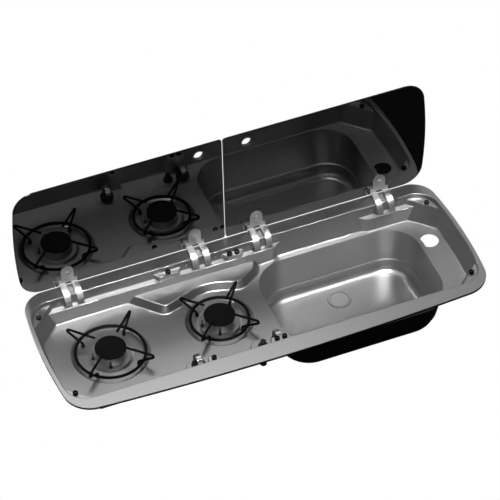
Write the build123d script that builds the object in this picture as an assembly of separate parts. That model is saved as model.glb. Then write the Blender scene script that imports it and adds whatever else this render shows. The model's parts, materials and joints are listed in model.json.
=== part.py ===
from build123d import *
from build123d.topology import SkipClean
import math
import os

# A drop-in combination of a two-burner gas hob and a sink for a camper's worktop, with two glass
# lids that stand open behind it. Lengths are in millimetres.
# +X runs along the long side to the sink's end, +Y to the rear edge where the lids are hinged, +Z up.
# The origin lies in the worktop's top plane, at the middle of the rim's length and depth.

# ---------------------------------------------------------------- pressed tray
SHEET = 1.2                  # thickness of the pressed stainless sheet
SEAL_HEIGHT = 4.5            # foam seal between rim and worktop
SEAL_WIDTH = 6.0
SEAL_INSET = 0.5             # how far the seal stands back from the rim's edge
RIM_LENGTH = 900.0
RIM_DEPTH = 343.0
RIM_SIDE_BOW = 14.9          # how far the short sides bulge past their corners
RIM_FRONT_BOW = 16.5         # how far the front edge bulges
RIM_REAR_CORNER = 51.0
RIM_FRONT_CORNER = 57.0

RECESS_LENGTH = 882.0        # opening inside the rim, where the lids lie when shut
RECESS_REAR = 141.5
RECESS_FRONT = -130.5
RECESS_SIDE_BOW = 9.4
RECESS_CORNER = 46.0
RECESS_EDGE_RADIUS = 1.8
WALL_DRAFT = 12.0            # degrees that the recess walls lean in

LEDGE_DEPTH = 10.0           # bumper ledges below the rim's top
SHELF_DEPTH = 20.0           # hinge shelves
PLATEAU_DEPTH = 38.0         # raised field behind the burners
DECK_DEPTH = 52.0            # hob and tap deck
DECK_EDGE_RADIUS = 4.0
SHELF_EDGE_RADIUS = 1.6
SHELF_CORNER = 6.0
LEDGE_CORNER = 3.0
FRONT_LEDGE_CORNER = 5.0
CORNER_FLAT_SUM = 498.5      # a corner flat runs where |x| plus |y from the middle| is this
CORNER_DRAFT = 19.0
RIM_EDGE_RADIUS = 1.0
SEAM_ABOVE_PADS = 0.1        # the floor ends this far above the control pads
END_SEAMS = (-395.0, 395.0)
BOWL_SEAMS = (20.0, 45.0, 97.0, 306.0, 358.0)
FRONT_SEAMS = (-395.0, -230.0, -175.0, -110.0, -35.0, 35.0, 395.0)
REAR_SEAMS = (-395.0, -230.0, 35.0, 395.0)
SEAMS = (((-48.0, 47.0), (BOWL_SEAMS,) * 3),                        # floor
         ((-60.0, 55.0), (FRONT_SEAMS, END_SEAMS, REAR_SEAMS)),     # walls, ledges and shelves
         ((-85.0, 95.0), (END_SEAMS,) * 3))                         # rim

SHELF_FRONT = 123.5          # front wall of the hinge shelves
SHELF_DRAFT = 3.0
SHELF_END_SLANT = 30.0       # run of a shelf's slanted end
LEDGE_DRAFT = 4.0
LEDGE_FRONT = 126.0          # front wall of the rear bumper ledges
LEDGE_SLANT = 10.0
FRONT_LEDGE_EDGE = -107.0     # rear edge of the front bumper tabs, at the deck
FRONT_LEDGE_SLANT = 10.0
LEFT_SHELF_START = -392.0
MIDDLE_LEDGE_X = -139.0
MIDDLE_LEDGE_LENGTH = 44.0
CENTRE_LEDGE_X = 1.0
CENTRE_LEDGE_LENGTH = 32.0
FRONT_TAB_LENGTH = 24.0
FRONT_PAIR_LENGTH = 40.0
CENTRE_SHELF_END = 84.0
RIGHT_SHELF_START = 292.0

PLATEAU_DRAFT = 38.0
PLATEAU_BACK = 20.0          # how far the field runs on behind the recess
PLATEAU_EDGE_RADIUS = 4.0

# ---------------------------------------------------------------- sink bowl
BOWL_CENTRE = (201.5, -0.5)
BOWL_LENGTH = 349.0
BOWL_WIDTH = 235.0
BOWL_CORNER = 70.0
BOWL_DEPTH = 103.0           # below the deck
BOWL_DRAFT = 4.0             # rear and end walls
BOWL_FRONT_DRAFT = 16.0      # the front wall slopes more
BOWL_SHEET = 1.0
BOWL_FLOOR_RADIUS = 24.0
BOWL_FLANGE = 9.0
BOWL_FOLD_DEPTH = 76.0        # the bowl's wall steps in this far below the deck
BOWL_FOLD_WIDTH = 2.5
COAT_THICKNESS = 1.6
COAT_TOP_DEPTH = 12.0        # the coat starts this far below the bowl's flange

DRAIN_CENTRE = (204.0, 60.5)
DRAIN_HOLE_RADIUS = 22.0
WASTE_FLANGE_RADIUS = 25.0
WASTE_FLANGE_HEIGHT = 2.4
WASTE_BORE_RADIUS = 17.0
WASTE_WALL = 3.0
WASTE_LENGTH = 42.0
WASTE_NUT_RADIUS = 31.0
WASTE_NUT_HEIGHT = 9.0
WASTE_GASKET_HEIGHT = 2.0
PLUG_CLEARANCE = 0.4
PLUG_TOP_HEIGHT = 1.4
PLUG_SEAT_DEPTH = 2.0
DRAIN_PLUG_RADIUS = 18.5

TAP_HOLE_CENTRE = (398.5, 52.0)
TAP_HOLE_RADIUS = 19.0

# ---------------------------------------------------------------- burners and pan supports
BURNER_Y = 8.5
BURNERS = {"left": {"x": -308.5, "well": 79.0, "ring": 69.5, "tip": 102.0},
           "right": {"x": -78.5, "well": 69.0, "ring": 58.5, "tip": 94.0}}
WELL_DEPTH = 6.0             # dish below the deck
WELL_DRAFT = 40.0
WELL_FLOOR_RADIUS = 4.0
BOSS_RADIUS = 46.0
BOSS_HEIGHT = 5.4
BOSS_DRAFT = 42.0
BURNER_HOLE_RADIUS = 25.0
CUP_RADIUS = 24.0
CUP_FLANGE_RADIUS = 32.0
CUP_DEPTH = 29.4
CUP_WALL = 2.0
CUP_INLET_HEIGHT = 9.0
HEAD_RADIUS = 24.0
HEAD_HEIGHT = 16.4
HEAD_FOOT_RADIUS = 32.5
HEAD_FOOT_HEIGHT = 2.0
HEAD_SPIGOT = 6.0
HEAD_BORE_RADIUS = 15.0
PORT_COUNT = 24
PORT_WIDTH = 1.6
PORT_DEPTH = 3.5
CAP_RADIUS = 31.5
CAP_THICKNESS = 3.2
CAP_EDGE_RADIUS = 1.2
CAP_SPIGOT_HEIGHT = 4.0
PROBE_OFFSET = 37.0          # probes stand this far from the burner's axis
PROBE_RADIUS = 2.2
PROBE_HOLE_CLEARANCE = 0.15
PROBE_TOP_DEPTH = 37.0
PROBE_LENGTH = 38.0
ELECTRODE_ANGLE = 180.0
THERMOCOUPLE_ANGLE = 250.0

RING_WIRE = 6.0
PRONG_WIRE = 5.0
PRONG_COUNT = 4
PRONG_RISE = 1.5
PRONG_BEND = 4.0
PRONG_INNER_RADIUS = 33.0
PRONG_TOP_DEPTH = 19.5       # axis of the prongs' level part below the rim's top
RING_HEIGHT = 12.0           # axis of the ring above the dish
FOOT_INSET = 9.0             # a prong's foot stands this far inside the ring
FOOT_SLEEVE_RADIUS = 3.6
FOOT_SLEEVE_HEIGHT = 4.0
SEAT_CLEARANCE = 0.3         # between a loose piece and what it stands on

# ---------------------------------------------------------------- controls and gas line
KNOB_PLACES = {"left": (-162.5, -91.5), "right": (5.0, -91.0)}
PAD_RADIUS = 24.0            # pressed pads under the controls
PAD_HEIGHT = 1.4
PAD_DRAFT = 45.0
KNOB_BASE_RADIUS = 14.0
KNOB_BASE_HEIGHT = 6.0
KNOB_TOP_DEPTH = 21.5
KNOB_GRIP_WIDTH = 11.0
KNOB_GRIP_LENGTH = 30.0
KNOB_ARCH = 10.0
KNOB_TRAVEL = 2.5
KNOB_END_GAP = 0.5           # left between stem and knob when the knob is pushed in
KNOB_TRIM = 1.2
KNOB_TRIM_WIDTH = 10.0
KNOB_GAP = 3.0               # between knob and pad, with room for the push
STEM_RADIUS = 4.0
STEM_HOLE_CLEARANCE = 1.2
STEM_GRIP = 9.0              # how far the stem reaches into the knob
STEM_FIT = 0.02
VALVE_LENGTH = 36.0
VALVE_WIDTH = 22.0
VALVE_HEIGHT = 26.0
VALVE_SETBACK = 9.0            # the tap reaches this much further back than forward
VALVE_SHOULDER = 6.0
VALVE_NECK = 12.0
VALVE_BORE_DEPTH = 16.0
STEM_RUNNING_CLEARANCE = 0.05
PIPE_RADIUS = 3.0
RAIL_RADIUS = 5.0
RAIL_WALL = 1.2
RAIL_END_X = -350.0
RAIL_OFFSET = 15.0
PIPE_LANE_Y = -44.0
PIPE_BEND = 7.0
INJECTOR_RADIUS = 6.0
INJECTOR_LENGTH = 16.0

IGNITER_PLACE = (-26.5, -92.5)
IGNITER_COLLAR_RADIUS = 10.0
IGNITER_COLLAR_HEIGHT = 7.0
IGNITER_BODY_RADIUS = 7.0
IGNITER_BODY_LENGTH = 48.0
IGNITER_BUTTON_RADIUS = 5.7
IGNITER_TOP_DEPTH = 32.0
IGNITER_TRAVEL = 4.0
IGNITER_NUT_RADIUS = 10.5
IGNITER_NUT_HEIGHT = 5.0

# ---------------------------------------------------------------- lids and hinges
PIVOT_Y = 156.5
PIVOT_DEPTH = 18.6
LID_LEAN = 1.1               # degrees past upright when open
GLASS = 4.5
LID_REST_DEPTH = 4.5         # underside of the shut lids below the rim's top
LID_GAP = 2.2                # between lid and recess, and between the lids
LID_REAR_GAP = 5.2           # behind a shut lid, so that its edge swings past the rim
LID_SPLIT_CORNER = 6.0
GRIP_HOLE_X = 50.5
GRIP_HOLE_Y = -105.5         # on the shut lid
GRIP_HOLE_RADIUS = 12.0
GROMMET_LIP = 2.0
GROMMET_PROUD = 1.6
GROMMET_WALL = 1.6
EDGE_CHAMFER = 0.8

HINGE_X = {"left_outer": -337.0, "left_inner": -66.5, "right_inner": 66.5, "right_outer": 337.0}
STRAP = 2.0                  # thickness of the hinge straps
STRAP_WIDTH = 39.0
STRAP_GAP = 13.0             # between a strap's two arms
STRAP_SHOULDER = 12.5        # top of the strap's wide part above the rim, lid open
ARM_RADIUS = 25.6            # the arms curve round the hinge axis, clear of the rim's edge
STRAP_BEND = 1.6
TAB_WIDTH = 26.0
TAB_TOP = 50.0               # above the rim's top when open
STRAP_SCREW_HEIGHT = 33.0
EYE_RADIUS = 4.4
PIN_RADIUS = 2.4
PIN_CLEARANCE = 0.06
PIN_OVERHANG = 1.5
SLOT_CLEARANCE = 1.1
SLOT_FRONT = 128.6
SLOT_TOP_DEPTH = 16.2
EAR_THICKNESS = 1.6
EAR_GAP = 2.6                # leaves room for the spring's tail beside the arms
BRACKET_FRONT = 144.0
BRACKET_BACK = 163.0
BRACKET_HALF = 31.0          # half the width of the closed box round a hinge
BRACKET_SHEET = 1.6
BOX_FRONT = 126.4
BOX_DEPTH = 50.4             # underside of the box below the rim's top
RIVET_OFFSET = 31.0
RIVET_DEPTH = 11.0
RIVET_HEAD_RADIUS = 2.4
RIVET_HEAD_HEIGHT = 0.7
SCREW_HEAD_RADIUS = 5.2
SCREW_HEAD_HEIGHT = 2.8
SCREW_SHANK_RADIUS = 2.0
SCREW_HOLE_CLEARANCE = 0.4
CAP_NUT_RADIUS = 8.5
CAP_NUT_HEIGHT = 3.0
SPRING_WIRE = 1.5
SPRING_TURNS = 5
SPRING_TAIL_TOP = 25.0       # the spring's wire end stands this far above the rim, lid open
SPRING_TAIL_FOOT = 4.5
SPRING_TAIL_REACH = 31.5     # and this far from the hinge's middle
SPRING_TAIL_SPREAD = 5.0

# ---------------------------------------------------------------- bumpers
BUMPER_RADIUS = 5.2
BUMPER_BORE = 2.6
BUMPER_GAP = 0.2             # between a bumper and the shut lid
BUMPER_PLACES = ((-419.0, 114.0), (419.0, 114.0), (-419.0, -101.0), (419.0, -101.0),
                 (MIDDLE_LEDGE_X, 133.0), (MIDDLE_LEDGE_X, -118.0),
                 (CENTRE_LEDGE_X - 8.0, 133.0), (CENTRE_LEDGE_X + 8.0, 133.0),
                 (CENTRE_LEDGE_X - 8.0, -118.0), (CENTRE_LEDGE_X + 8.0, -118.0))
BUMPER_SCREW_LENGTH = 8.0
BUMPER_SHANK_RADIUS = 1.4

# ---------------------------------------------------------------- edges and small shares
TOUCH = 0.01                 # two faces this close lie in one plane
CUT_PAST = 1.0               # how far a cutting shape runs past the metal
HOLE_REACH = 6.0             # how far a hole's cutter stands above the deck
NUT_REACH = 30.0             # how far a nut's bore is cut below its top
EASE_FINE = 0.8
EASE = 1.2
EASE_SOFT = 1.5
PROBE_BODY_RISE = 6.0
PROBE_COLLAR = 1.4
ELECTRODE_RADIUS = 1.2
NECK_MIDDLE = 5.0            # from a valve's back to the middle of its outlet
PIPE_END_GAP = 4.0
IGNITER_BORE_DEPTH = 12.0
IGNITER_FIT = 0.1
BUMPER_FLOOR = 0.8
SCREW_SLOT_WIDTH = 1.4
SCREW_SLOT_LENGTH = 6.0
SCREW_SLOT_DEPTH = 2.0
CAP_NUT_FLOOR = 0.8
EAR_SETBACK = 1.0
NOSE_LEAD = 2.0              # how far an ear's nose stands in front of the pin
NOSE_WALL = 1.0
COIL_GAP = 0.7
PLATEAU_LEFT = -262.0
PLATEAU_RIGHT = 66.0
# corners of the raised wave behind the burners: along, across and corner radius
PLATEAU_CORNERS = ((-222.0, 112.0, 20.0), (-172.0, 60.0, 22.0), (-70.0, 94.0, 90.0),
                   (-6.0, 66.0, 34.0), (46.0, 100.0, 26.0))

# ---------------------------------------------------------------- levels
RIM_TOP = SEAL_HEIGHT + SHEET


def level(depth):
    """Height above the worktop of something this far below the rim's top."""
    return RIM_TOP - depth


LEDGE_Z = level(LEDGE_DEPTH)
SHELF_Z = level(SHELF_DEPTH)
PLATEAU_Z = level(PLATEAU_DEPTH)
DECK_Z = level(DECK_DEPTH)
DISH_Z = DECK_Z - WELL_DEPTH
BOSS_Z = DISH_Z + BOSS_HEIGHT
BOWL_FLOOR_Z = DECK_Z - BOWL_DEPTH
PAD_Z = DECK_Z + PAD_HEIGHT
PIVOT_Z = level(PIVOT_DEPTH)
OUTLET_Z = DECK_Z - SHEET - VALVE_HEIGHT / 2
RAIL_Z = DECK_Z - SHEET - VALVE_HEIGHT + 1.0
LID_REST_Z = level(LID_REST_DEPTH)


# ---------------------------------------------------------------- shared shapes
def bowed_face(half_length, rear, front, side_bow, front_bow, rear_corner, front_corner):
    """A flat face with bowed short sides, an optionally bowed front and rounded corners."""
    depth = rear - front
    middle = (rear + front) / 2
    side_radius = ((depth / 2) ** 2 + side_bow ** 2) / (2 * side_bow)
    face = Pos(0, middle) * Rectangle(2 * half_length, depth)
    for side in (-1, 1):
        face &= Pos(side * (half_length - side_radius), middle) * Circle(side_radius)
    if front_bow:
        front_radius = (half_length ** 2 + front_bow ** 2) / (2 * front_bow)
        face &= Pos(0, front + front_radius) * Circle(front_radius)
    corners = face.vertices().sort_by(Axis.Y)
    face = fillet(corners[:2], front_corner)
    return fillet(face.vertices().sort_by(Axis.Y)[-2:], rear_corner)


def rounded_outline(points, radius):
    """A face inside a closed run of straight sides, with every corner rounded."""
    return make_face(FilletPolyline(*points, radius=radius, close=True))


def press(outline, top, bottom, draft, grow=0.0, radius=0.0):
    """The space over a pressed floor: walls lean in by the draft, grown by the sheet's thickness."""
    height = top - bottom + grow
    space = Pos(0, 0, top) * extrude(outline(grow), height, dir=(0, 0, -1), taper=draft)
    if radius and not grow:
        space = fillet(space.faces().sort_by(Axis.Z)[0].edges(), radius)
    return space


def rise(outline, bottom, top, draft, grow=0.0, radius=0.0):
    """Metal standing up from a floor; its underside is the same shape, shrunk and let down."""
    height = top - bottom
    metal = Pos(0, 0, bottom - grow) * extrude(outline(-grow), height, dir=(0, 0, 1), taper=draft)
    if radius and not grow:
        metal = fillet(metal.faces().sort_by(Axis.Z)[-1].edges(), radius)
    return metal


def widened(face):
    """An outline that can be asked for at any offset, made from one face."""
    return lambda grow: offset(face, grow, kind=Kind.INTERSECTION) if grow else face


def round_outline(radius, x, y):
    """A circular outline that can be asked for at any offset."""
    return lambda grow: Pos(x, y) * Circle(radius + grow)


def disc(radius, bottom, top, place=(0.0, 0.0)):
    """An upright cylinder between two heights."""
    return Pos(place[0], place[1], (bottom + top) / 2) * Cylinder(radius, top - bottom)


def tube(outer, inner, bottom, top, place=(0.0, 0.0)):
    """An upright pipe between two heights."""
    return disc(outer, bottom, top, place) - disc(inner, bottom - 1, top + 1, place)


def block(x, y, z):
    """A box given by its lowest and highest value along each axis."""
    centre = Pos((x[0] + x[1]) / 2, (y[0] + y[1]) / 2, (z[0] + z[1]) / 2)
    return centre * Box(x[1] - x[0], y[1] - y[0], z[1] - z[0])


def wire_run(points, radius, bend):
    """A round bar along straight runs joined by bends."""
    path = FilletPolyline(*points, radius=bend)
    section = Plane(origin=path @ 0, z_dir=path % 0) * Circle(radius)
    return sweep(section, path=path)


def opened(shape, angle=-(90.0 + LID_LEAN)):
    """Turns a piece of a shut lid about the hinge axis into its open place."""
    return Pos(0, PIVOT_Y, PIVOT_Z) * Rot(angle, 0, 0) * Pos(0, -PIVOT_Y, -PIVOT_Z) * shape


# ---------------------------------------------------------------- tray
def recess_face(grow=0.0):
    return bowed_face(RECESS_LENGTH / 2 + grow, RECESS_REAR + grow, RECESS_FRONT - grow,
                      RECESS_SIDE_BOW, 0.0, RECESS_CORNER + grow, RECESS_CORNER + grow)


def corner_faces():
    """Plan, at the deck, of the four corner ledges with their slanting flats."""
    faces = []
    far_x = RECESS_LENGTH / 2 + SHELF_END_SLANT
    middle = (RECESS_REAR + RECESS_FRONT) / 2
    far_y = (RECESS_REAR - RECESS_FRONT) / 2 + SHELF_END_SLANT
    for side_x in (-1, 1):
        for side_y in (-1, 1):
            near_x = CORNER_FLAT_SUM - far_y
            near_y = CORNER_FLAT_SUM - far_x
            corners = [(side_x * far_x, middle + side_y * far_y),
                       (side_x * near_x, middle + side_y * far_y),
                       (side_x * far_x, middle + side_y * near_y)]
            if side_x * side_y < 0:
                corners.reverse()
            faces.append(make_face(Polyline(*corners, close=True)))
    return faces


def rear_shelf_faces():
    """Plan of the two hinge shelves that run along the rear wall."""
    back = RECESS_REAR + SHELF_END_SLANT
    far = LEFT_SHELF_START - SHELF_END_SLANT
    long_shelf = ((far, SHELF_FRONT), (CENTRE_SHELF_END, SHELF_FRONT),
                  (CENTRE_SHELF_END + 3 * SHELF_END_SLANT, back), (far, back))
    short_shelf = ((RIGHT_SHELF_START, SHELF_FRONT), (-far, SHELF_FRONT),
                   (-far, back), (RIGHT_SHELF_START - 2 * SHELF_END_SLANT, back))
    return [rounded_outline(points, SHELF_CORNER) for points in (long_shelf, short_shelf)]


def rear_ledge_faces():
    """Plan of the bumper ledges that stand on the long shelf."""
    faces = []
    back = RECESS_REAR + 2 * LEDGE_SLANT
    for middle, length in ((MIDDLE_LEDGE_X, MIDDLE_LEDGE_LENGTH),
                           (CENTRE_LEDGE_X, CENTRE_LEDGE_LENGTH)):
        half = length / 2
        wide = half + 2 * LEDGE_SLANT
        points = ((middle - half, LEDGE_FRONT), (middle + half, LEDGE_FRONT),
                  (middle + wide, back), (middle - wide, back))
        faces.append(rounded_outline(points, LEDGE_CORNER))
    return faces


def front_ledge_faces():
    """Plan of the two tabs on the front wall that carry bumpers."""
    faces = []
    front_end = RECESS_FRONT - FRONT_LEDGE_SLANT
    for middle, length in ((MIDDLE_LEDGE_X, FRONT_TAB_LENGTH),
                           (CENTRE_LEDGE_X, FRONT_PAIR_LENGTH)):
        half = length / 2
        wide = half + FRONT_LEDGE_SLANT
        points = ((middle - half, FRONT_LEDGE_EDGE), (middle - wide, front_end),
                  (middle + wide, front_end), (middle + half, FRONT_LEDGE_EDGE))
        faces.append(rounded_outline(points, FRONT_LEDGE_CORNER))
    return faces


def plateau_face():
    """Plan, at deck height, of the raised field whose front edge swings round the right burner."""
    back = RECESS_REAR + PLATEAU_BACK
    corners = ((PLATEAU_LEFT, back, 0.0), *PLATEAU_CORNERS, (PLATEAU_RIGHT, back, 0.0))
    face = make_face(Polyline(*((x, y) for x, y, radius in corners), close=True))
    for x, y, radius in corners:
        if radius:
            face = fillet(face.vertices().sort_by_distance((x, y))[0], radius)
    return face


def control_pad_faces():
    """Plan of the low pads under the left knob and under the igniter with the right knob."""
    left = Pos(*KNOB_PLACES["left"]) * Circle(PAD_RADIUS)
    middle_x = (IGNITER_PLACE[0] + KNOB_PLACES["right"][0]) / 2
    length = KNOB_PLACES["right"][0] - IGNITER_PLACE[0] + 2 * PAD_RADIUS
    right = Pos(middle_x, KNOB_PLACES["right"][1]) * SlotOverall(length, 2 * PAD_RADIUS)
    return [left, right]


def cavity(grow=0.0):
    """Everything open above the tray's sheet; grown by the sheet's thickness, it is the underside."""
    foot = DECK_Z - 2 * SHEET
    ledge_foot = SHELF_Z - 2 * SHEET
    edge = SHELF_EDGE_RADIUS
    space = press(recess_face, RIM_TOP, DECK_Z, WALL_DRAFT, grow)
    for face in corner_faces():
        space -= rise(widened(face), foot, LEDGE_Z, CORNER_DRAFT, grow, edge)
    for face in rear_shelf_faces():
        space -= rise(widened(face), foot, SHELF_Z, SHELF_DRAFT, grow, edge)
    for face in rear_ledge_faces():
        space -= rise(widened(face), ledge_foot, LEDGE_Z, LEDGE_DRAFT, grow, edge)
    for face in front_ledge_faces():
        space -= rise(widened(face), foot, LEDGE_Z, LEDGE_DRAFT, grow, edge)
    field = widened(plateau_face())
    space -= rise(field, foot, PLATEAU_Z, PLATEAU_DRAFT, grow, PLATEAU_EDGE_RADIUS)
    if not grow:
        floor_edges = space.edges().filter_by_position(Axis.Z, DECK_Z - TOUCH, DECK_Z + TOUCH)
        space = fillet(floor_edges, DECK_EDGE_RADIUS)
    for face in control_pad_faces():
        space -= rise(widened(face), DECK_Z, PAD_Z, PAD_DRAFT, grow)
    for burner in BURNERS.values():
        well = round_outline(burner["well"], burner["x"], BURNER_Y)
        boss = round_outline(BOSS_RADIUS, burner["x"], BURNER_Y)
        space += press(well, DECK_Z, DISH_Z, WELL_DRAFT, grow, WELL_FLOOR_RADIUS)
        space -= rise(boss, DISH_Z, BOSS_Z, BOSS_DRAFT, grow)
    return space


def bowl_face(grow=0.0, depth=0.0):
    """The bowl's plan this far below its mouth, larger all round by the amount given."""
    side = depth * math.tan(math.radians(BOWL_DRAFT))
    front = depth * math.tan(math.radians(BOWL_FRONT_DRAFT))
    x, y = BOWL_CENTRE
    outline = RectangleRounded(BOWL_LENGTH + 2 * (grow - side), BOWL_WIDTH + 2 * grow - side - front,
                               BOWL_CORNER + grow - side)
    return Pos(x, y + (front - side) / 2) * outline


def hinge_slots():
    """Slots in the rear wall and shelf that the hinge arms swing through."""
    slots = []
    bottom = level(SHELF_DEPTH + 3 * SHEET)
    top = level(SLOT_TOP_DEPTH)
    for middle in HINGE_X.values():
        inner = STRAP_GAP / 2 - SLOT_CLEARANCE
        outer = STRAP_WIDTH / 2 + SLOT_CLEARANCE
        tail = outer + SPRING_WIRE + SLOT_CLEARANCE
        for near, far in ((-tail, -inner), (inner, outer)):
            slots.append(block((middle + near, middle + far), (SLOT_FRONT, BRACKET_FRONT),
                               (bottom, top)))
    return slots


def probe_places(burner, angle):
    """Where a probe stands beside a burner."""
    turn = math.radians(angle)
    return (burner["x"] + PROBE_OFFSET * math.cos(turn), BURNER_Y + PROBE_OFFSET * math.sin(turn))


def make_tray():
    rim = bowed_face(RIM_LENGTH / 2, RIM_DEPTH / 2, -RIM_DEPTH / 2, RIM_SIDE_BOW, RIM_FRONT_BOW,
                     RIM_REAR_CORNER, RIM_FRONT_CORNER)
    plate = Pos(0, 0, RIM_TOP - SHEET) * extrude(rim, SHEET)
    plate = fillet(plate.faces().sort_by(Axis.Z)[-1].edges(), RIM_EDGE_RADIUS)
    tray = plate + cavity(SHEET)
    tray -= cavity()
    mouth = [e for e in tray.edges() if on_mouth(e)]
    tray = fillet(mouth, RECESS_EDGE_RADIUS)
    tray -= Pos(0, 0, DECK_Z - 2 * SHEET) * extrude(bowl_face(), 4 * SHEET)
    tray -= disc(TAP_HOLE_RADIUS, DECK_Z - 2 * SHEET, DECK_Z + SHEET, TAP_HOLE_CENTRE)
    for burner in BURNERS.values():
        bottom = DISH_Z - 3 * SHEET
        tray -= disc(BURNER_HOLE_RADIUS, bottom, DECK_Z, (burner["x"], BURNER_Y))
        for angle in (ELECTRODE_ANGLE, THERMOCOUPLE_ANGLE):
            place = probe_places(burner, angle)
            tray -= disc(PROBE_RADIUS + PROBE_HOLE_CLEARANCE, bottom, DECK_Z, place)
    for place in KNOB_PLACES.values():
        tray -= disc(STEM_RADIUS + STEM_HOLE_CLEARANCE, DECK_Z - 3 * SHEET, DECK_Z + HOLE_REACH, place)
    tray -= disc(IGNITER_BODY_RADIUS, DECK_Z - 3 * SHEET, DECK_Z + HOLE_REACH, IGNITER_PLACE)
    for place in BUMPER_PLACES:
        tray -= disc(BUMPER_SHANK_RADIUS, LEDGE_Z - 2 * SHEET, LEDGE_Z + SHEET, place)
    for slot in hinge_slots():
        tray -= slot
    return tray_stretches(tray)


def tray_stretches(tray):
    """The tray as stretches that meet at hidden seams, so that each one is nearly flat."""
    stretches = []
    far = RIM_LENGTH
    levels = (-far, PAD_Z + SEAM_ABOVE_PADS, RIM_TOP - SHEET, far)
    for bottom, top, (seams_y, rows) in zip(levels, levels[1:], SEAMS):
        edges_y = (-far,) + seams_y + (far,)
        for front, back, seams_x in zip(edges_y, edges_y[1:], rows):
            edges_x = (-far,) + seams_x + (far,)
            for x in zip(edges_x, edges_x[1:]):
                stretches += (tray & block(x, (front, back), (bottom, top))).solids()
    return Compound(children=stretches)


def on_mouth(edge):
    """True for the edges where the recess leaves the rim's top."""
    box = edge.bounding_box()
    inside = max(abs(box.min.X), abs(box.max.X)) < RECESS_LENGTH / 2 + 1
    inside = inside and box.min.Y > RECESS_FRONT - 1 and box.max.Y < RECESS_REAR + 1
    return inside and box.min.Z > RIM_TOP - TOUCH


def make_seal():
    rim = bowed_face(RIM_LENGTH / 2, RIM_DEPTH / 2, -RIM_DEPTH / 2, RIM_SIDE_BOW, RIM_FRONT_BOW,
                     RIM_REAR_CORNER, RIM_FRONT_CORNER)
    ring = offset(rim, -SEAL_INSET) - offset(rim, -SEAL_INSET - SEAL_WIDTH)
    return extrude(ring, SEAL_HEIGHT)


# ---------------------------------------------------------------- bowl and waste
def bowl_stretch(upper, lower, grow, inset=0.0, step=0.0):
    """A stretch of the bowl between two heights; it may start and end further inside."""
    top = DECK_Z - SHEET
    mouth = Pos(0, 0, upper) * bowl_face(grow - inset, top - upper)
    foot = Pos(0, 0, lower) * bowl_face(grow - inset - step, top - lower)
    return loft([mouth, foot], ruled=True)


def bowl_space(grow=0.0):
    """The inside of the bowl from its flange down; grown, the outside."""
    fold = DECK_Z - BOWL_FOLD_DEPTH
    step = BOWL_FOLD_WIDTH
    space = bowl_stretch(DECK_Z - SHEET, fold, grow)
    space += bowl_stretch(fold, fold - step, grow, step=step)
    lower = bowl_stretch(fold - step, BOWL_FLOOR_Z - grow, grow, inset=step)
    lower = fillet(lower.faces().sort_by(Axis.Z)[0].edges(), BOWL_FLOOR_RADIUS + grow)
    return space + lower


def make_bowl():
    flange = Pos(0, 0, DECK_Z - SHEET - BOWL_SHEET) * extrude(bowl_face(BOWL_FLANGE), BOWL_SHEET)
    bowl = flange + bowl_space(BOWL_SHEET)
    bowl -= bowl_space()
    return bowl - disc(DRAIN_HOLE_RADIUS, BOWL_FLOOR_Z - 3, BOWL_FLOOR_Z + 3, DRAIN_CENTRE)


def make_coating():
    coat = bowl_space(BOWL_SHEET + COAT_THICKNESS) - bowl_space(BOWL_SHEET)
    top = DECK_Z - SHEET - COAT_TOP_DEPTH
    coat -= block((0, RIM_LENGTH / 2), (-RIM_DEPTH / 2, RIM_DEPTH / 2), (top, RIM_TOP))
    bottom = BOWL_FLOOR_Z - 2 * BOWL_SHEET - COAT_THICKNESS
    return coat - disc(WASTE_NUT_RADIUS + 2, bottom - 1, BOWL_FLOOR_Z, DRAIN_CENTRE)


def make_waste():
    body = disc(WASTE_FLANGE_RADIUS, BOWL_FLOOR_Z, BOWL_FLOOR_Z + WASTE_FLANGE_HEIGHT, DRAIN_CENTRE)
    body = chamfer(body.faces().sort_by(Axis.Z)[-1].edges(), EASE)
    outer = WASTE_BORE_RADIUS + WASTE_WALL
    bottom = BOWL_FLOOR_Z - WASTE_LENGTH
    body += disc(outer, bottom, BOWL_FLOOR_Z + 1, DRAIN_CENTRE)
    body -= disc(WASTE_BORE_RADIUS, bottom - 1, BOWL_FLOOR_Z - PLUG_SEAT_DEPTH, DRAIN_CENTRE)
    seat = DRAIN_PLUG_RADIUS + PLUG_CLEARANCE
    body -= disc(seat, BOWL_FLOOR_Z - PLUG_SEAT_DEPTH, BOWL_FLOOR_Z + 5, DRAIN_CENTRE)
    return body


def make_waste_gasket():
    top = BOWL_FLOOR_Z - BOWL_SHEET
    return tube(WASTE_NUT_RADIUS - 2, WASTE_BORE_RADIUS + WASTE_WALL, top - WASTE_GASKET_HEIGHT,
                top, DRAIN_CENTRE)


def make_waste_nut():
    top = BOWL_FLOOR_Z - BOWL_SHEET - WASTE_GASKET_HEIGHT
    middle = Pos(*DRAIN_CENTRE, top - WASTE_NUT_HEIGHT)
    nut = middle * extrude(RegularPolygon(WASTE_NUT_RADIUS, 8), WASTE_NUT_HEIGHT)
    return nut - disc(WASTE_BORE_RADIUS + WASTE_WALL, top - NUT_REACH, top + 1, DRAIN_CENTRE)


def make_plug():
    bottom = BOWL_FLOOR_Z - PLUG_SEAT_DEPTH
    plug = disc(DRAIN_PLUG_RADIUS, bottom + SEAT_CLEARANCE, BOWL_FLOOR_Z + PLUG_TOP_HEIGHT,
                DRAIN_CENTRE)
    plug = fillet(plug.faces().sort_by(Axis.Z)[-1].edges(), EASE_FINE)
    stem = disc(WASTE_BORE_RADIUS - 3, bottom - 8, bottom + 1, DRAIN_CENTRE)
    return plug + stem


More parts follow.
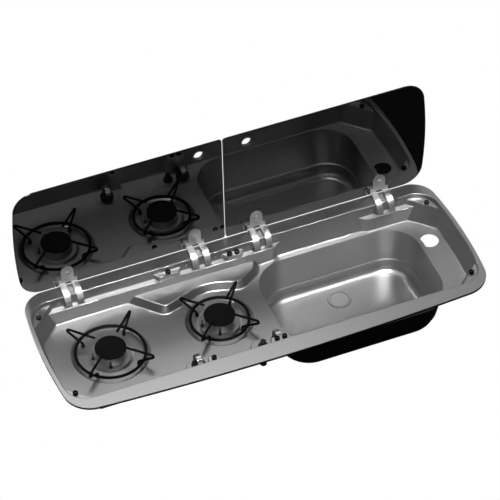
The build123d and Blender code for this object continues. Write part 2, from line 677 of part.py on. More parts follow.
# ---------------------------------------------------------------- burners
def make_cup(burner):
    place = (burner["x"], BURNER_Y)
    top = BOSS_Z - SHEET
    cup = disc(CUP_FLANGE_RADIUS, top - CUP_WALL, top, place)
    cup += disc(CUP_RADIUS, top - CUP_DEPTH, top, place)
    bottom = top - CUP_DEPTH
    cup -= disc(CUP_RADIUS - CUP_WALL, bottom + CUP_WALL, top + 1, place)
    inlet = Pos(place[0], BURNER_Y - CUP_RADIUS - 2, bottom + CUP_INLET_HEIGHT)
    cup += inlet * Rot(90, 0, 0) * Cylinder(INJECTOR_RADIUS, INJECTOR_LENGTH)
    bore = Pos(place[0], BURNER_Y - CUP_RADIUS - 2, bottom + CUP_INLET_HEIGHT)
    return cup - bore * Rot(90, 0, 0) * Cylinder(PIPE_RADIUS, INJECTOR_LENGTH + 2)


def make_head(burner):
    place = (burner["x"], BURNER_Y)
    foot = BOSS_Z
    head = disc(HEAD_FOOT_RADIUS, foot, foot + HEAD_FOOT_HEIGHT, place)
    slope = HEAD_HEIGHT - HEAD_FOOT_HEIGHT - PORT_DEPTH
    middle = Pos(place[0], place[1], foot + HEAD_FOOT_HEIGHT + slope / 2)
    head += middle * Cone(HEAD_FOOT_RADIUS, HEAD_RADIUS, slope)
    head += disc(HEAD_RADIUS, foot, foot + HEAD_HEIGHT, place)
    head += disc(CUP_RADIUS - CUP_WALL - 0.5, foot - HEAD_SPIGOT, foot, place)
    head -= disc(HEAD_BORE_RADIUS, foot - HEAD_SPIGOT - 1, foot + HEAD_HEIGHT + 1, place)
    slit = Box(2 * (HEAD_RADIUS - HEAD_BORE_RADIUS), PORT_WIDTH, PORT_DEPTH)
    reach = HEAD_RADIUS - PORT_WIDTH
    for index in range(PORT_COUNT):
        turn = Rot(0, 0, (index + 0.5) * 360 / PORT_COUNT)
        middle = Pos(reach, 0, foot + HEAD_HEIGHT - PORT_DEPTH / 2)
        head -= Pos(place[0], place[1]) * turn * middle * slit
    return head


def make_cap(burner):
    place = (burner["x"], BURNER_Y)
    bottom = BOSS_Z + HEAD_HEIGHT
    cap = disc(CAP_RADIUS, bottom, bottom + CAP_THICKNESS, place)
    cap = fillet(cap.faces().sort_by(Axis.Z)[-1].edges(), CAP_EDGE_RADIUS)
    spigot = HEAD_BORE_RADIUS - SEAT_CLEARANCE
    return cap + tube(spigot, spigot - 2, bottom - CAP_SPIGOT_HEIGHT, bottom + 1, place)


def make_probe(burner, angle, top, radius):
    """A probe beside a burner: a fixing body held in the deck and a thinner tip."""
    place = probe_places(burner, angle)
    hole = PROBE_RADIUS + PROBE_HOLE_CLEARANCE
    body = disc(hole, BOSS_Z - PROBE_LENGTH, BOSS_Z + PROBE_BODY_RISE, place)
    collar = disc(hole + PROBE_COLLAR, BOSS_Z, BOSS_Z + 2.0, place)
    return body + collar + disc(radius, BOSS_Z + PROBE_BODY_RISE - 1, top, place)


def make_pan_support(burner):
    """A wire ring with four prongs, each running out over the ring, back and down inside it."""
    ring_z = DISH_Z + RING_HEIGHT
    ring = burner["ring"]
    tip = burner["tip"]
    top = level(PRONG_TOP_DEPTH)
    foot = ring - FOOT_INSET
    run = ((PRONG_INNER_RADIUS, 0, top - PRONG_RISE), (tip, 0, top),
           (foot, 0, ring_z - RING_WIRE / 2), (foot, 0, DISH_Z + SEAT_CLEARANCE + 1.0))
    prong = wire_run(run, PRONG_WIRE / 2, PRONG_BEND)
    support = revolve(Plane.XZ * Pos(ring, ring_z) * Circle(RING_WIRE / 2), Axis.Z)
    with SkipClean():
        for index in range(PRONG_COUNT):
            support += Rot(0, 0, 45 + index * 360 / PRONG_COUNT) * prong
    return Pos(burner["x"], BURNER_Y) * support


def make_support_feet(burner):
    feet = []
    radius = burner["ring"] - FOOT_INSET
    bottom = DISH_Z + SEAT_CLEARANCE
    sleeve = disc(FOOT_SLEEVE_RADIUS, bottom, bottom + FOOT_SLEEVE_HEIGHT)
    sleeve -= disc(PRONG_WIRE / 2, bottom + 1.0, bottom + FOOT_SLEEVE_HEIGHT + 1)
    for index in range(PRONG_COUNT):
        turn = Rot(0, 0, 45 + index * 360 / PRONG_COUNT)
        feet.append(Pos(burner["x"], BURNER_Y) * turn * Pos(radius, 0) * sleeve)
    return Compound(children=feet)


# ---------------------------------------------------------------- controls and gas line
def make_knob(place):
    """A round base with an arched grip bar lying front to back."""
    bottom = PAD_Z + KNOB_GAP
    top = level(KNOB_TOP_DEPTH) - KNOB_TRIM
    base = disc(KNOB_BASE_RADIUS, bottom, bottom + KNOB_BASE_HEIGHT)
    base = fillet(base.faces().sort_by(Axis.Z)[-1].edges(), EASE_SOFT)
    height = top - bottom
    arch_radius = ((KNOB_GRIP_LENGTH / 2) ** 2 + KNOB_ARCH ** 2) / (2 * KNOB_ARCH)
    bar = Pos(0, 0, bottom + height / 2) * Box(KNOB_GRIP_WIDTH, KNOB_GRIP_LENGTH, height)
    arch = Pos(0, 0, top - arch_radius) * Rot(0, 90, 0) * Cylinder(arch_radius, 2 * KNOB_GRIP_WIDTH)
    knob = base + (bar & arch)
    knob -= disc(STEM_RADIUS, bottom - 1, bottom + STEM_GRIP + KNOB_TRAVEL + KNOB_END_GAP)
    return Pos(*place) * knob


def make_knob_trim(place):
    """A bright strip that follows the arch of the grip."""
    top = level(KNOB_TOP_DEPTH)
    arch_radius = ((KNOB_GRIP_LENGTH / 2) ** 2 + KNOB_ARCH ** 2) / (2 * KNOB_ARCH) + KNOB_TRIM
    outer = Pos(0, 0, top - arch_radius) * Rot(0, 90, 0) * Cylinder(arch_radius, KNOB_TRIM_WIDTH)
    inner = Pos(0, 0, top - arch_radius) * Rot(0, 90, 0)
    inner = inner * Cylinder(arch_radius - KNOB_TRIM, KNOB_TRIM_WIDTH + 2)
    length = KNOB_GRIP_LENGTH - 1.0
    window = Pos(0, 0, top) * Box(KNOB_TRIM_WIDTH, length, 4 * KNOB_ARCH)
    return Pos(*place) * ((outer - inner) & window)


def make_stem(place):
    top = PAD_Z + KNOB_GAP + STEM_GRIP
    bottom = DECK_Z - SHEET - VALVE_BORE_DEPTH + 1.0
    return disc(STEM_RADIUS - STEM_FIT, bottom, top, place)


def make_valve(place):
    """A gas tap hung under the deck, saddled over the supply rail."""
    top = DECK_Z - SHEET
    middle = Pos(place[0], place[1] + VALVE_SETBACK, top - VALVE_HEIGHT / 2)
    valve = middle * Box(VALVE_WIDTH, VALVE_LENGTH, VALVE_HEIGHT)
    valve = fillet(valve.edges().filter_by(Axis.Y).group_by(Axis.Z)[-1], VALVE_SHOULDER)
    valve -= disc(STEM_RADIUS + STEM_RUNNING_CLEARANCE, top - VALVE_BORE_DEPTH, top + 1, place)
    back = place[1] + VALVE_SETBACK + VALVE_LENGTH / 2
    neck = Pos(place[0], back + NECK_MIDDLE, OUTLET_Z) * Rot(90, 0, 0)
    valve += neck * Cylinder(INJECTOR_RADIUS, VALVE_NECK)
    valve -= neck * Cylinder(PIPE_RADIUS, VALVE_NECK + HOLE_REACH)
    return valve - rail_bar(RAIL_RADIUS)


def rail_bar(radius):
    """A straight bar along the supply rail's axis."""
    end = KNOB_PLACES["right"][0] + VALVE_WIDTH
    middle = Pos((RAIL_END_X + end) / 2, KNOB_PLACES["left"][1] + RAIL_OFFSET, RAIL_Z)
    return middle * Rot(0, 90, 0) * Cylinder(radius, end - RAIL_END_X)


def make_rail():
    """The supply rail under both taps, open at its left end."""
    return rail_bar(RAIL_RADIUS) - Pos(-RAIL_WALL, 0, 0) * rail_bar(RAIL_RADIUS - RAIL_WALL)


def make_gas_pipe(burner, place):
    """A pipe from a valve's outlet to the burner cup's inlet."""
    start_z = OUTLET_Z
    end_z = BOSS_Z - SHEET - CUP_DEPTH + CUP_INLET_HEIGHT
    start = place[1] + VALVE_SETBACK + VALVE_LENGTH / 2 + NECK_MIDDLE
    end = BURNER_Y - CUP_RADIUS - PIPE_END_GAP
    x = burner["x"]
    lane = PIPE_LANE_Y
    run = ((place[0], start, start_z), (place[0], lane, start_z), (x, lane, end_z), (x, end, end_z))
    return wire_run(run, PIPE_RADIUS, PIPE_BEND)


def make_igniter_body():
    body = disc(IGNITER_COLLAR_RADIUS, PAD_Z, PAD_Z + IGNITER_COLLAR_HEIGHT, IGNITER_PLACE)
    body = chamfer(body.faces().sort_by(Axis.Z)[-1].edges(), EASE_SOFT)
    body += disc(IGNITER_BODY_RADIUS, PAD_Z - IGNITER_BODY_LENGTH, PAD_Z + 1, IGNITER_PLACE)
    body -= disc(IGNITER_BUTTON_RADIUS + IGNITER_FIT, PAD_Z - IGNITER_BORE_DEPTH, PAD_Z + 20, IGNITER_PLACE)
    return body


def make_igniter_nut():
    top = PAD_Z - SHEET
    nut = Pos(*IGNITER_PLACE, top - IGNITER_NUT_HEIGHT)
    nut = nut * extrude(RegularPolygon(IGNITER_NUT_RADIUS, 6), IGNITER_NUT_HEIGHT)
    return nut - disc(IGNITER_BODY_RADIUS, top - NUT_REACH, top + 1, IGNITER_PLACE)


def make_igniter_button():
    top = level(IGNITER_TOP_DEPTH)
    bottom = PAD_Z - IGNITER_BORE_DEPTH + IGNITER_TRAVEL + 0.5
    button = disc(IGNITER_BUTTON_RADIUS, bottom, top, IGNITER_PLACE)
    return fillet(button.faces().sort_by(Axis.Z)[-1].edges(), EASE)


# ---------------------------------------------------------------- bumpers
def make_bumpers():
    rings = []
    top = LID_REST_Z - BUMPER_GAP
    for place in BUMPER_PLACES:
        ring = disc(BUMPER_RADIUS, LEDGE_Z, top, place)
        ring = fillet(ring.faces().sort_by(Axis.Z)[-1].edges(), EASE_FINE)
        ring -= disc(BUMPER_BORE, LEDGE_Z + BUMPER_FLOOR, top + 1, place)
        rings.append(ring - disc(BUMPER_SHANK_RADIUS, LEDGE_Z - 1, top, place))
    return Compound(children=rings)


def make_bumper_screws():
    screws = []
    for place in BUMPER_PLACES:
        head = disc(BUMPER_BORE, LEDGE_Z + BUMPER_FLOOR, LEDGE_Z + BUMPER_FLOOR + 1, place)
        shank = disc(BUMPER_SHANK_RADIUS, LEDGE_Z - BUMPER_SCREW_LENGTH, LEDGE_Z + 1.0, place)
        screws.append(head + shank)
    return Compound(children=screws)


# ---------------------------------------------------------------- lids
def make_glass(side):
    """One lid, drawn shut and then opened; side is -1 for the left lid and 1 for the right."""
    half = RECESS_LENGTH / 2
    corner = RECESS_CORNER - LID_GAP
    face = bowed_face(half - LID_GAP, RECESS_REAR - LID_REAR_GAP, RECESS_FRONT + LID_GAP,
                      RECESS_SIDE_BOW, 0.0, corner, corner)
    face &= Pos(side * (half + LID_GAP / 2), 0) * Rectangle(2 * half, RECESS_LENGTH)
    near = [v for v in face.vertices() if abs(v.X) < LID_GAP]
    face = fillet(near, LID_SPLIT_CORNER)
    face -= Pos(side * GRIP_HOLE_X, GRIP_HOLE_Y) * Circle(GRIP_HOLE_RADIUS)
    rear = PIVOT_Y - (STRAP_SCREW_HEIGHT + PIVOT_DEPTH)
    for x in HINGE_X.values():
        if x * side > 0:
            face -= Pos(x, rear) * Circle(SCREW_SHANK_RADIUS + SCREW_HOLE_CLEARANCE)
    pane = Pos(0, 0, LID_REST_Z) * extrude(face, GLASS)
    rims = pane.faces().sort_by(Axis.Z)
    outline = [f.outer_wire().edges() for f in (rims[0], rims[-1])]
    pane = chamfer(outline[0] + outline[1], EDGE_CHAMFER)
    return opened(pane)


def make_grommet(side):
    place = (side * GRIP_HOLE_X, GRIP_HOLE_Y)
    bottom = LID_REST_Z - GROMMET_PROUD
    top = LID_REST_Z + GLASS + GROMMET_PROUD
    ring = disc(GRIP_HOLE_RADIUS + GROMMET_LIP, bottom, top, place)
    ring = fillet(ring.faces().filter_by(Plane.XY).edges(), 1.0)
    ring -= disc(GRIP_HOLE_RADIUS - GROMMET_WALL, bottom - 1, top + 1, place)
    ring -= tube(GRIP_HOLE_RADIUS + GROMMET_LIP + 1, GRIP_HOLE_RADIUS, LID_REST_Z,
                 LID_REST_Z + GLASS, place)
    return opened(ring)


# ---------------------------------------------------------------- hinges
def arm_profile():
    """Side view of a hinge arm about the pin: down the lid, forward, round the rim, back to the pin."""
    half = STRAP / 2
    plate = PIVOT_DEPTH - LID_REST_DEPTH
    outer = ARM_RADIUS + half
    inner = ARM_RADIUS - half
    quarter = Pos(-outer / 2, outer / 2) * Rectangle(outer, outer)
    profile = (Circle(outer) - Circle(inner)) & quarter
    profile += Pos(plate / 2, ARM_RADIUS) * Rectangle(plate, STRAP)
    top = PIVOT_DEPTH + STRAP_SHOULDER
    profile += Pos(plate - half, (inner + top) / 2) * Rectangle(STRAP, top - inner)
    profile += Pos(-outer / 2, 0) * Rectangle(outer, STRAP)
    corners = profile.vertices().sort_by_distance((plate, inner))[:1]
    corners += profile.vertices().sort_by_distance((-outer, -half))[:1]
    return fillet(corners, STRAP_BEND) + Circle(EYE_RADIUS)


def make_strap(x):
    face_y = PIVOT_Y + (PIVOT_DEPTH - LID_REST_DEPTH)
    plate_y = face_y - STRAP / 2
    arm_width = (STRAP_WIDTH - STRAP_GAP) / 2
    arm = extrude(Plane.YZ * arm_profile(), arm_width / 2, both=True)
    low = level(-STRAP_SHOULDER)
    middle = level(-TAB_TOP) - TAB_WIDTH / 2
    lap = STRAP_SHOULDER / 4
    strap = block((-STRAP_WIDTH / 2, STRAP_WIDTH / 2), (face_y - STRAP, face_y), (low - lap, low + lap))
    for side in (-1, 1):
        strap += Pos(side * (STRAP_GAP + arm_width) / 2, PIVOT_Y, PIVOT_Z) * arm
    strap += block((-TAB_WIDTH / 2, TAB_WIDTH / 2), (face_y - STRAP, face_y), (low, middle))
    strap += Pos(0, plate_y, middle) * Rot(90, 0, 0) * Cylinder(TAB_WIDTH / 2, STRAP)
    strap -= Pos(0, PIVOT_Y, PIVOT_Z) * Rot(0, 90, 0) * Cylinder(PIN_RADIUS + PIN_CLEARANCE,
                                                               2 * STRAP_WIDTH)
    hole = Pos(0, plate_y, level(-STRAP_SCREW_HEIGHT)) * Rot(90, 0, 0)
    strap -= hole * Cylinder(SCREW_SHANK_RADIUS + SCREW_HOLE_CLEARANCE, 2 * GLASS)
    return Pos(x, 0, 0) * opened(strap, -LID_LEAN)


def make_hinge_screws(side):
    screws = []
    face_y = PIVOT_Y + (PIVOT_DEPTH - LID_REST_DEPTH)
    z = level(-STRAP_SCREW_HEIGHT)
    for x in HINGE_X.values():
        if x * side > 0:
            front = face_y - STRAP
            head = Pos(x, front - SCREW_HEAD_HEIGHT / 2, z) * Rot(90, 0, 0)
            head = head * Cylinder(SCREW_HEAD_RADIUS, SCREW_HEAD_HEIGHT)
            head = fillet(head.faces().sort_by(Axis.Y)[0].edges(), EASE)
            length = STRAP + GLASS + CAP_NUT_HEIGHT - CAP_NUT_FLOOR
            shank = Pos(x, front + length / 2, z) * Rot(90, 0, 0)
            screw = head + shank * Cylinder(SCREW_SHANK_RADIUS, length)
            face = Pos(x, front - SCREW_HEAD_HEIGHT, z)
            slot = face * Box(SCREW_SLOT_WIDTH, SCREW_SLOT_DEPTH, SCREW_SLOT_LENGTH)
            cross = face * Box(SCREW_SLOT_LENGTH, SCREW_SLOT_DEPTH, SCREW_SLOT_WIDTH)
            screws.append(opened(screw - slot - cross, -LID_LEAN))
    return Compound(children=screws)


def make_cap_nuts(side):
    nuts = []
    back_y = PIVOT_Y + (PIVOT_DEPTH - LID_REST_DEPTH) + GLASS
    z = level(-STRAP_SCREW_HEIGHT)
    for x in HINGE_X.values():
        if x * side > 0:
            nut = Pos(x, back_y + CAP_NUT_HEIGHT / 2, z) * Rot(90, 0, 0)
            nut = nut * Cylinder(CAP_NUT_RADIUS, CAP_NUT_HEIGHT)
            nut = fillet(nut.faces().sort_by(Axis.Y)[-1].edges(), 1.0)
            bore = Pos(x, back_y + CAP_NUT_HEIGHT / 2 - CAP_NUT_FLOOR, z) * Rot(90, 0, 0)
            nuts.append(opened(nut - bore * Cylinder(SCREW_SHANK_RADIUS, CAP_NUT_HEIGHT), -LID_LEAN))
    return Compound(children=nuts)


def ear_places():
    """The bracket's two ears, measured from the hinge's middle to each ear's middle."""
    left = -(STRAP_WIDTH / 2 + EAR_GAP + EAR_THICKNESS / 2)
    return (left, -left)


def make_bracket(x, underside):
    """A closed box under the rim and the shelf, with two ears inside it that hold the pin."""
    top = RIM_TOP - SHEET
    bottom = level(BOX_DEPTH)
    wall = BRACKET_SHEET
    inner = BRACKET_HALF - wall
    bracket = block((-BRACKET_HALF, BRACKET_HALF), (BOX_FRONT, BRACKET_BACK), (bottom, top))
    bracket -= block((-inner, inner), (BOX_FRONT + wall, BRACKET_BACK - wall),
                     (bottom + wall, top - wall))
    window = STRAP_WIDTH / 2 + CUT_PAST
    bracket -= block((-window, window), (BRACKET_BACK - 2 * wall, BRACKET_BACK + CUT_PAST),
                     (PIVOT_Z - EYE_RADIUS - CUT_PAST, top - wall))
    for ear_x in ear_places():
        half = EAR_THICKNESS / 2
        ear = block((ear_x - half, ear_x + half), (BRACKET_FRONT + EAR_SETBACK, BRACKET_BACK - wall / 2),
                    (PIVOT_Z, top - wall / 2))
        bracket += ear
        nose = Pos(ear_x, PIVOT_Y - NOSE_LEAD, PIVOT_Z) * Rot(0, 90, 0)
        bracket += nose * Cylinder(EYE_RADIUS + NOSE_WALL, EAR_THICKNESS)
    hole = Pos(0, PIVOT_Y, PIVOT_Z) * Rot(0, 90, 0)
    bracket -= hole * Cylinder(PIN_RADIUS, 3 * STRAP_WIDTH)
    return Pos(x, 0, 0) * bracket - underside


def make_rivets():
    """Rivet heads on the recess's rear wall, two beside each hinge."""
    rivets = []
    z = level(RIVET_DEPTH)
    y = RECESS_REAR - RIVET_DEPTH * math.tan(math.radians(WALL_DRAFT))
    for x in HINGE_X.values():
        for side in (-1, 1):
            head = disc(RIVET_HEAD_RADIUS, 0.0, RIVET_HEAD_HEIGHT)
            head = fillet(head.faces().sort_by(Axis.Z)[-1].edges(), RIVET_HEAD_HEIGHT / 2)
            rivets.append(Pos(x + side * RIVET_OFFSET, y, z) * Rot(90 - WALL_DRAFT, 0, 0) * head)
    return Compound(children=rivets)


def make_pins():
    pins = []
    half = ear_places()[1] + EAR_THICKNESS / 2 + PIN_OVERHANG
    for x in HINGE_X.values():
        pins.append(Pos(x, PIVOT_Y, PIVOT_Z) * Rot(0, 90, 0) * Cylinder(PIN_RADIUS, 2 * half))
    return Compound(children=pins)


def make_spring(x):
    """A torsion spring wound round the pin between the arms, with a tail that follows the arms."""
    coil_radius = PIN_RADIUS + SPRING_WIRE / 2 + COIL_GAP
    pitch = (STRAP_GAP - 2 * SPRING_WIRE) / SPRING_TURNS
    helix = Helix(pitch, pitch * SPRING_TURNS, coil_radius)
    section = Plane(origin=helix @ 0, z_dir=helix % 0) * Circle(SPRING_WIRE / 2)
    coil = sweep(section, path=helix, is_frenet=True)
    coil = Pos(-pitch * SPRING_TURNS / 2, PIVOT_Y, PIVOT_Z) * Rot(0, 90, 0) * coil
    y = PIVOT_Y + PIVOT_DEPTH - LID_REST_DEPTH - SPRING_WIRE
    tip = -STRAP_WIDTH / 2 - SPRING_WIRE
    reach = -SPRING_TAIL_REACH
    run = ((tip, y, level(-STRAP_SHOULDER)), (reach, y, level(-SPRING_TAIL_TOP)),
           (reach + SPRING_TAIL_SPREAD, y, level(-SPRING_TAIL_FOOT)))
    tail = wire_run(run, SPRING_WIRE / 2, SPRING_WIRE)
    return Pos(x, 0, 0) * opened(Compound(children=[coil, tail]), -LID_LEAN)


def make_parts():
    parts = {"tray": make_tray(), "rim_seal": make_seal(), "sink_bowl": make_bowl(),
             "bowl_coating": make_coating(), "waste_body": make_waste(),
             "waste_gasket": make_waste_gasket(), "waste_nut": make_waste_nut(),
             "sink_plug": make_plug(), "gas_rail": make_rail(),
             "igniter_body": make_igniter_body(), "igniter_nut": make_igniter_nut(),
             "igniter_button": make_igniter_button(), "bumper_rings": make_bumpers(),
             "bumper_screws": make_bumper_screws(), "hinge_pins": make_pins(),
             "hinge_rivets": make_rivets()}
    for name, burner in BURNERS.items():
        place = KNOB_PLACES[name]
        parts[name + "_burner_cup"] = make_cup(burner)
        parts[name + "_burner_head"] = make_head(burner)
        parts[name + "_burner_cap"] = make_cap(burner)
        probe = make_probe(burner, ELECTRODE_ANGLE, level(PROBE_TOP_DEPTH), ELECTRODE_RADIUS)
        parts[name + "_electrode"] = probe
        parts[name + "_thermocouple"] = make_probe(burner, THERMOCOUPLE_ANGLE,
                                                   level(PROBE_TOP_DEPTH) - 2.0, PROBE_RADIUS)
        parts[name + "_pan_support"] = make_pan_support(burner)
        parts[name + "_support_feet"] = make_support_feet(burner)
        parts[name + "_knob"] = make_knob(place)
        parts[name + "_knob_trim"] = make_knob_trim(place)
        parts[name + "_valve_stem"] = make_stem(place)
        parts[name + "_valve_body"] = make_valve(place)
        parts[name + "_gas_pipe"] = make_gas_pipe(burner, place)
    for name, side in (("left", -1), ("right", 1)):
        parts[name + "_glass"] = make_glass(side)
        parts[name + "_grip_ring"] = make_grommet(side)
        parts[name + "_hinge_screws"] = make_hinge_screws(side)
        parts[name + "_cap_nuts"] = make_cap_nuts(side)
    underside = cavity(SHEET)
    for name, x in HINGE_X.items():
        parts[name + "_strap"] = make_strap(x)
        parts[name + "_bracket"] = make_bracket(x, underside)
        parts[name + "_spring"] = make_spring(x)
    return parts


if __name__ == "__main__":
    os.makedirs("parts", exist_ok=True)
    for node, shape in make_parts().items():
        export_step(shape, "parts/" + node + ".step")
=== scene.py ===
import json
import math

import bpy
from mathutils import Matrix, Vector

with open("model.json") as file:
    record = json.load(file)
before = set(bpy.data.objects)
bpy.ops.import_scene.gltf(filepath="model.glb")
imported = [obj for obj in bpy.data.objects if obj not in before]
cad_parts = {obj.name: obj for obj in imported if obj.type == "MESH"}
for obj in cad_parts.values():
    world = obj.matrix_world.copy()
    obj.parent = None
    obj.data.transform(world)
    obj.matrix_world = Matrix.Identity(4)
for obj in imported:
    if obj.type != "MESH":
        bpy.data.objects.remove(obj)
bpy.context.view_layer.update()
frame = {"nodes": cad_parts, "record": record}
NODES = frame["nodes"]
scene = bpy.context.scene

USUAL_IOR = 1.5
MM_PER_METRE = 1000.0


# ------------------------------------------------------------------ node helpers
def channel(value):
    """One sRGB channel as a linear one."""
    return value / 12.92 if value <= 0.04045 else ((value + 0.055) / 1.055) ** 2.4


def colour(code):
    """An sRGB hex colour such as "8c8c8c" as linear RGBA."""
    parts = [int(code[i:i + 2], 16) / 255 for i in (0, 2, 4)]
    return (*[channel(p) for p in parts], 1.0)


def add(material, kind, **inputs):
    """Adds a node; a keyword sets an input, or a property when the node has no such input."""
    node = material.node_tree.nodes.new(kind)
    for name, value in inputs.items():
        label = name.replace("_", " ")
        if label in node.inputs:
            node.inputs[label].default_value = value
        elif name in node.inputs:
            node.inputs[name].default_value = value
        else:
            setattr(node, name, value)
    return node


def link(material, source, target):
    """Joins an output to an input, in a material or the world."""
    material.node_tree.links.new(source, target)


def new_material(name, base, roughness, metallic, ior=USUAL_IOR):
    """A material with one Principled shader, and that shader."""
    material = bpy.data.materials.new(name)
    material.use_nodes = True
    shader = material.node_tree.nodes["Principled BSDF"]
    shader.inputs["Base Color"].default_value = colour(base)
    shader.inputs["Roughness"].default_value = roughness
    shader.inputs["Metallic"].default_value = metallic
    shader.inputs["IOR"].default_value = ior
    return material, shader


# ------------------------------------------------------------------ materials
def object_place(material, scales):
    """Object coordinates in metres, stretched along each axis by the scales given."""
    place = add(material, "ShaderNodeTexCoord")
    mapping = add(material, "ShaderNodeMapping", Scale=scales)
    link(material, place.outputs["Object"], mapping.inputs["Vector"])
    return mapping.outputs["Vector"]


def satin_steel(name, base, roughness, grain_mm, spread):
    """Stainless sheet: a grain of the given size along X, Y and Z varies the gloss a little."""
    material, shader = new_material(name, base, roughness, 1.0)
    scales = tuple(MM_PER_METRE / size for size in grain_mm)
    noise = add(material, "ShaderNodeTexNoise", Scale=1.0, Detail=2.0)
    link(material, object_place(material, scales), noise.inputs["Vector"])
    gloss = add(material, "ShaderNodeMapRange", To_Min=roughness - spread, To_Max=roughness + spread)
    link(material, noise.outputs["Fac"], gloss.inputs["Value"])
    link(material, gloss.outputs["Result"], shader.inputs["Roughness"])
    return material


# material slot: name, colour, roughness, how metallic, index of refraction
PLAIN = {
    # toughened glass with black enamel behind it: a clear, strong mirror image on black
    "black_glass": ("polished black glass", "020202", 0.015, 0.0, 2.0),
    # vitreous enamel, nearly matte
    "black_enamel": ("matte black enamel", "0a0a0a", 0.5, 0.0, 1.22),
    "black_plastic": ("fine-grained black plastic", "0e0e0e", 0.4, 0.0, USUAL_IOR),
    "grey_plastic": ("dark grey plastic", "2c2c2d", 0.35, 0.0, USUAL_IOR),
    "bright_trim": ("satin bright metal", "e2e2e2", 0.28, 1.0, USUAL_IOR),
    "black_rubber": ("soft black rubber", "0a0a0a", 0.65, 0.0, 1.35),
    "black_coating": ("sprayed black coat", "050505", 0.8, 0.0, 1.2),
    "zinc_steel": ("bright zinc-plated steel", "ececec", 0.38, 1.0, USUAL_IOR),
    "aluminium_casting": ("cast aluminium", "c8c8c8", 0.38, 1.0, USUAL_IOR),
    "brass": ("nickel-plated brass", "8c8a86", 0.35, 1.0, USUAL_IOR),
    "copper_pipe": ("coated steel pipe", "4a4a4a", 0.4, 1.0, USUAL_IOR),
    "ceramic": ("dark glazed ceramic", "2a2a2a", 0.3, 0.0, USUAL_IOR),
}


def make_materials():
    made = {}
    # pressed stainless sheet with a fine satin finish
    made["stainless_tray"] = satin_steel("satin stainless sheet", "d0d0d0", 0.33, (30, 30, 30), 0.01)
    # deep-drawn bowl, brushed along its length
    made["stainless_bowl"] = satin_steel("brushed stainless bowl", "d2d2d2", 0.30, (200, 12, 12), 0.02)
    for slot, (name, base, roughness, metallic, ior) in PLAIN.items():
        made[slot] = new_material(name, base, roughness, metallic, ior)[0]
    return made


MATERIALS = make_materials()
SLOTS = {row["node"]: row["material_slot"] for row in frame["record"]["subparts"]}
for node, obj in NODES.items():
    obj.data.materials.clear()
    obj.data.materials.append(MATERIALS[SLOTS[node]])


# ------------------------------------------------------------------ camera
CAMERA_RIGHT = Vector((0.92667, -0.37564, -0.01242))
CAMERA_UP = Vector((0.27502, 0.65517, 0.70363))
CAMERA_BACK = Vector((-0.25618, -0.65546, 0.71045))
CAMERA_PLACE = (-1.4559, -3.6879, 4.1330)
LENS_MM = 208.4
SENSOR_MM = 36.0
CLIP_METRES = (0.5, 50.0)
camera_data = bpy.data.cameras.new("camera")
camera = bpy.data.objects.new("camera", camera_data)
scene.collection.objects.link(camera)
camera_data.sensor_width = SENSOR_MM
camera_data.lens = LENS_MM
camera_data.clip_start, camera_data.clip_end = CLIP_METRES
turn = Matrix((CAMERA_RIGHT, CAMERA_UP, CAMERA_BACK)).transposed()
camera.matrix_world = Matrix.Translation(CAMERA_PLACE) @ turn.to_4x4()
scene.camera = camera
scene.view_settings.view_transform = "Standard"


# ------------------------------------------------------------------ light
def panel(name, place, aim, size, power, spread):
    """A rectangular light aimed at a point."""
    data = bpy.data.lights.new(name, "AREA")
    data.shape = "RECTANGLE"
    data.size, data.size_y = size
    data.energy = power
    data.spread = math.radians(spread)
    lamp = bpy.data.objects.new(name, data)
    scene.collection.objects.link(lamp)
    lamp.location = place
    lamp.rotation_euler = (Vector(aim) - Vector(place)).to_track_quat("-Z", "Y").to_euler()


def ramp(material, stops, source):
    """A grey that follows a value through the stops given as (position, grey)."""
    node = add(material, "ShaderNodeValToRGB")
    elements = node.color_ramp.elements
    for element, (position, grey) in zip(elements, (stops[0], stops[-1])):
        element.position = position
        element.color = (grey, grey, grey, 1)
    for position, grey in stops[1:-1]:
        elements.new(position).color = (grey, grey, grey, 1)
    link(material, source, node.inputs["Fac"])
    return node.outputs["Color"]


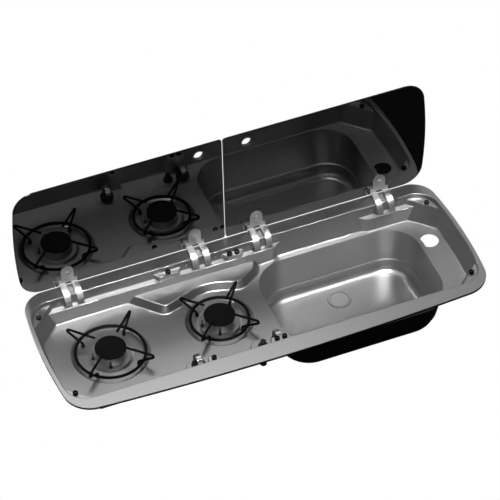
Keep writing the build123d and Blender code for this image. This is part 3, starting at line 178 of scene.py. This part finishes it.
def make_world():
    """White to the camera; to everything else a sky that is bright above and behind, dark in front."""
    world = bpy.data.worlds.new("studio")
    scene.world = world
    world.use_nodes = True
    world.node_tree.nodes.clear()
    output = add(world, "ShaderNodeOutputWorld")
    seen = add(world, "ShaderNodeBackground", Color=(1, 1, 1, 1), Strength=1.0)
    around = add(world, "ShaderNodeBackground", Strength=SKY_STRENGTH)
    place = add(world, "ShaderNodeTexCoord")
    split = add(world, "ShaderNodeSeparateXYZ")
    link(world, place.outputs["Generated"], split.inputs["Vector"])
    greys = []
    for axis, stops in (("Z", SKY_BY_HEIGHT), ("Y", SKY_BY_DEPTH)):
        span = add(world, "ShaderNodeMapRange", From_Min=-1.0, From_Max=1.0)
        link(world, split.outputs[axis], span.inputs["Value"])
        greys.append(ramp(world, stops, span.outputs["Result"]))
    product = add(world, "ShaderNodeVectorMath", operation="MULTIPLY")
    link(world, greys[0], product.inputs[0])
    link(world, greys[1], product.inputs[1])
    link(world, product.outputs["Vector"], around.inputs["Color"])
    paths = add(world, "ShaderNodeLightPath")
    mix = add(world, "ShaderNodeMixShader")
    link(world, paths.outputs["Is Camera Ray"], mix.inputs[0])
    link(world, around.outputs[0], mix.inputs[1])
    link(world, seen.outputs[0], mix.inputs[2])
    link(world, mix.outputs[0], output.inputs["Surface"])


SKY_STRENGTH = 0.42
# height of a direction, 0 straight down and 1 straight up, and the light from there
SKY_BY_HEIGHT = ((0.0, 0.40), (0.49, 0.30), (0.55, 0.20), (0.80, 0.50), (0.90, 1.0),
                 (0.97, 0.85), (1.0, 0.85))
# depth of a direction, 0 straight towards the front and 1 straight behind
SKY_BY_DEPTH = ((0.12, 0.10), (0.35, 0.20), (0.50, 0.55), (0.70, 1.0), (0.90, 0.8))
make_world()

# name, place, aim, size in metres, power in watts, spread in degrees
LIGHTS = (
    ("key", (-0.3, 0.95, 2.2), (0, 0, 0), (2.2, 0.6), 7, 180),
    ("shelf strip", (0.0, -0.7, 2.2), (0, 0.14, 0), (1.8, 0.12), 1.7, 14),
    ("left window", (-0.77, 1.97, 2.13), (0, 0, 0), (0.9, 0.6), 9, 180),
    ("front fill", (-0.8, -2.6, 0.7), (0, 0, -0.05), (2.5, 0.7), 8, 180),
)
for light in LIGHTS:
    panel(*light)
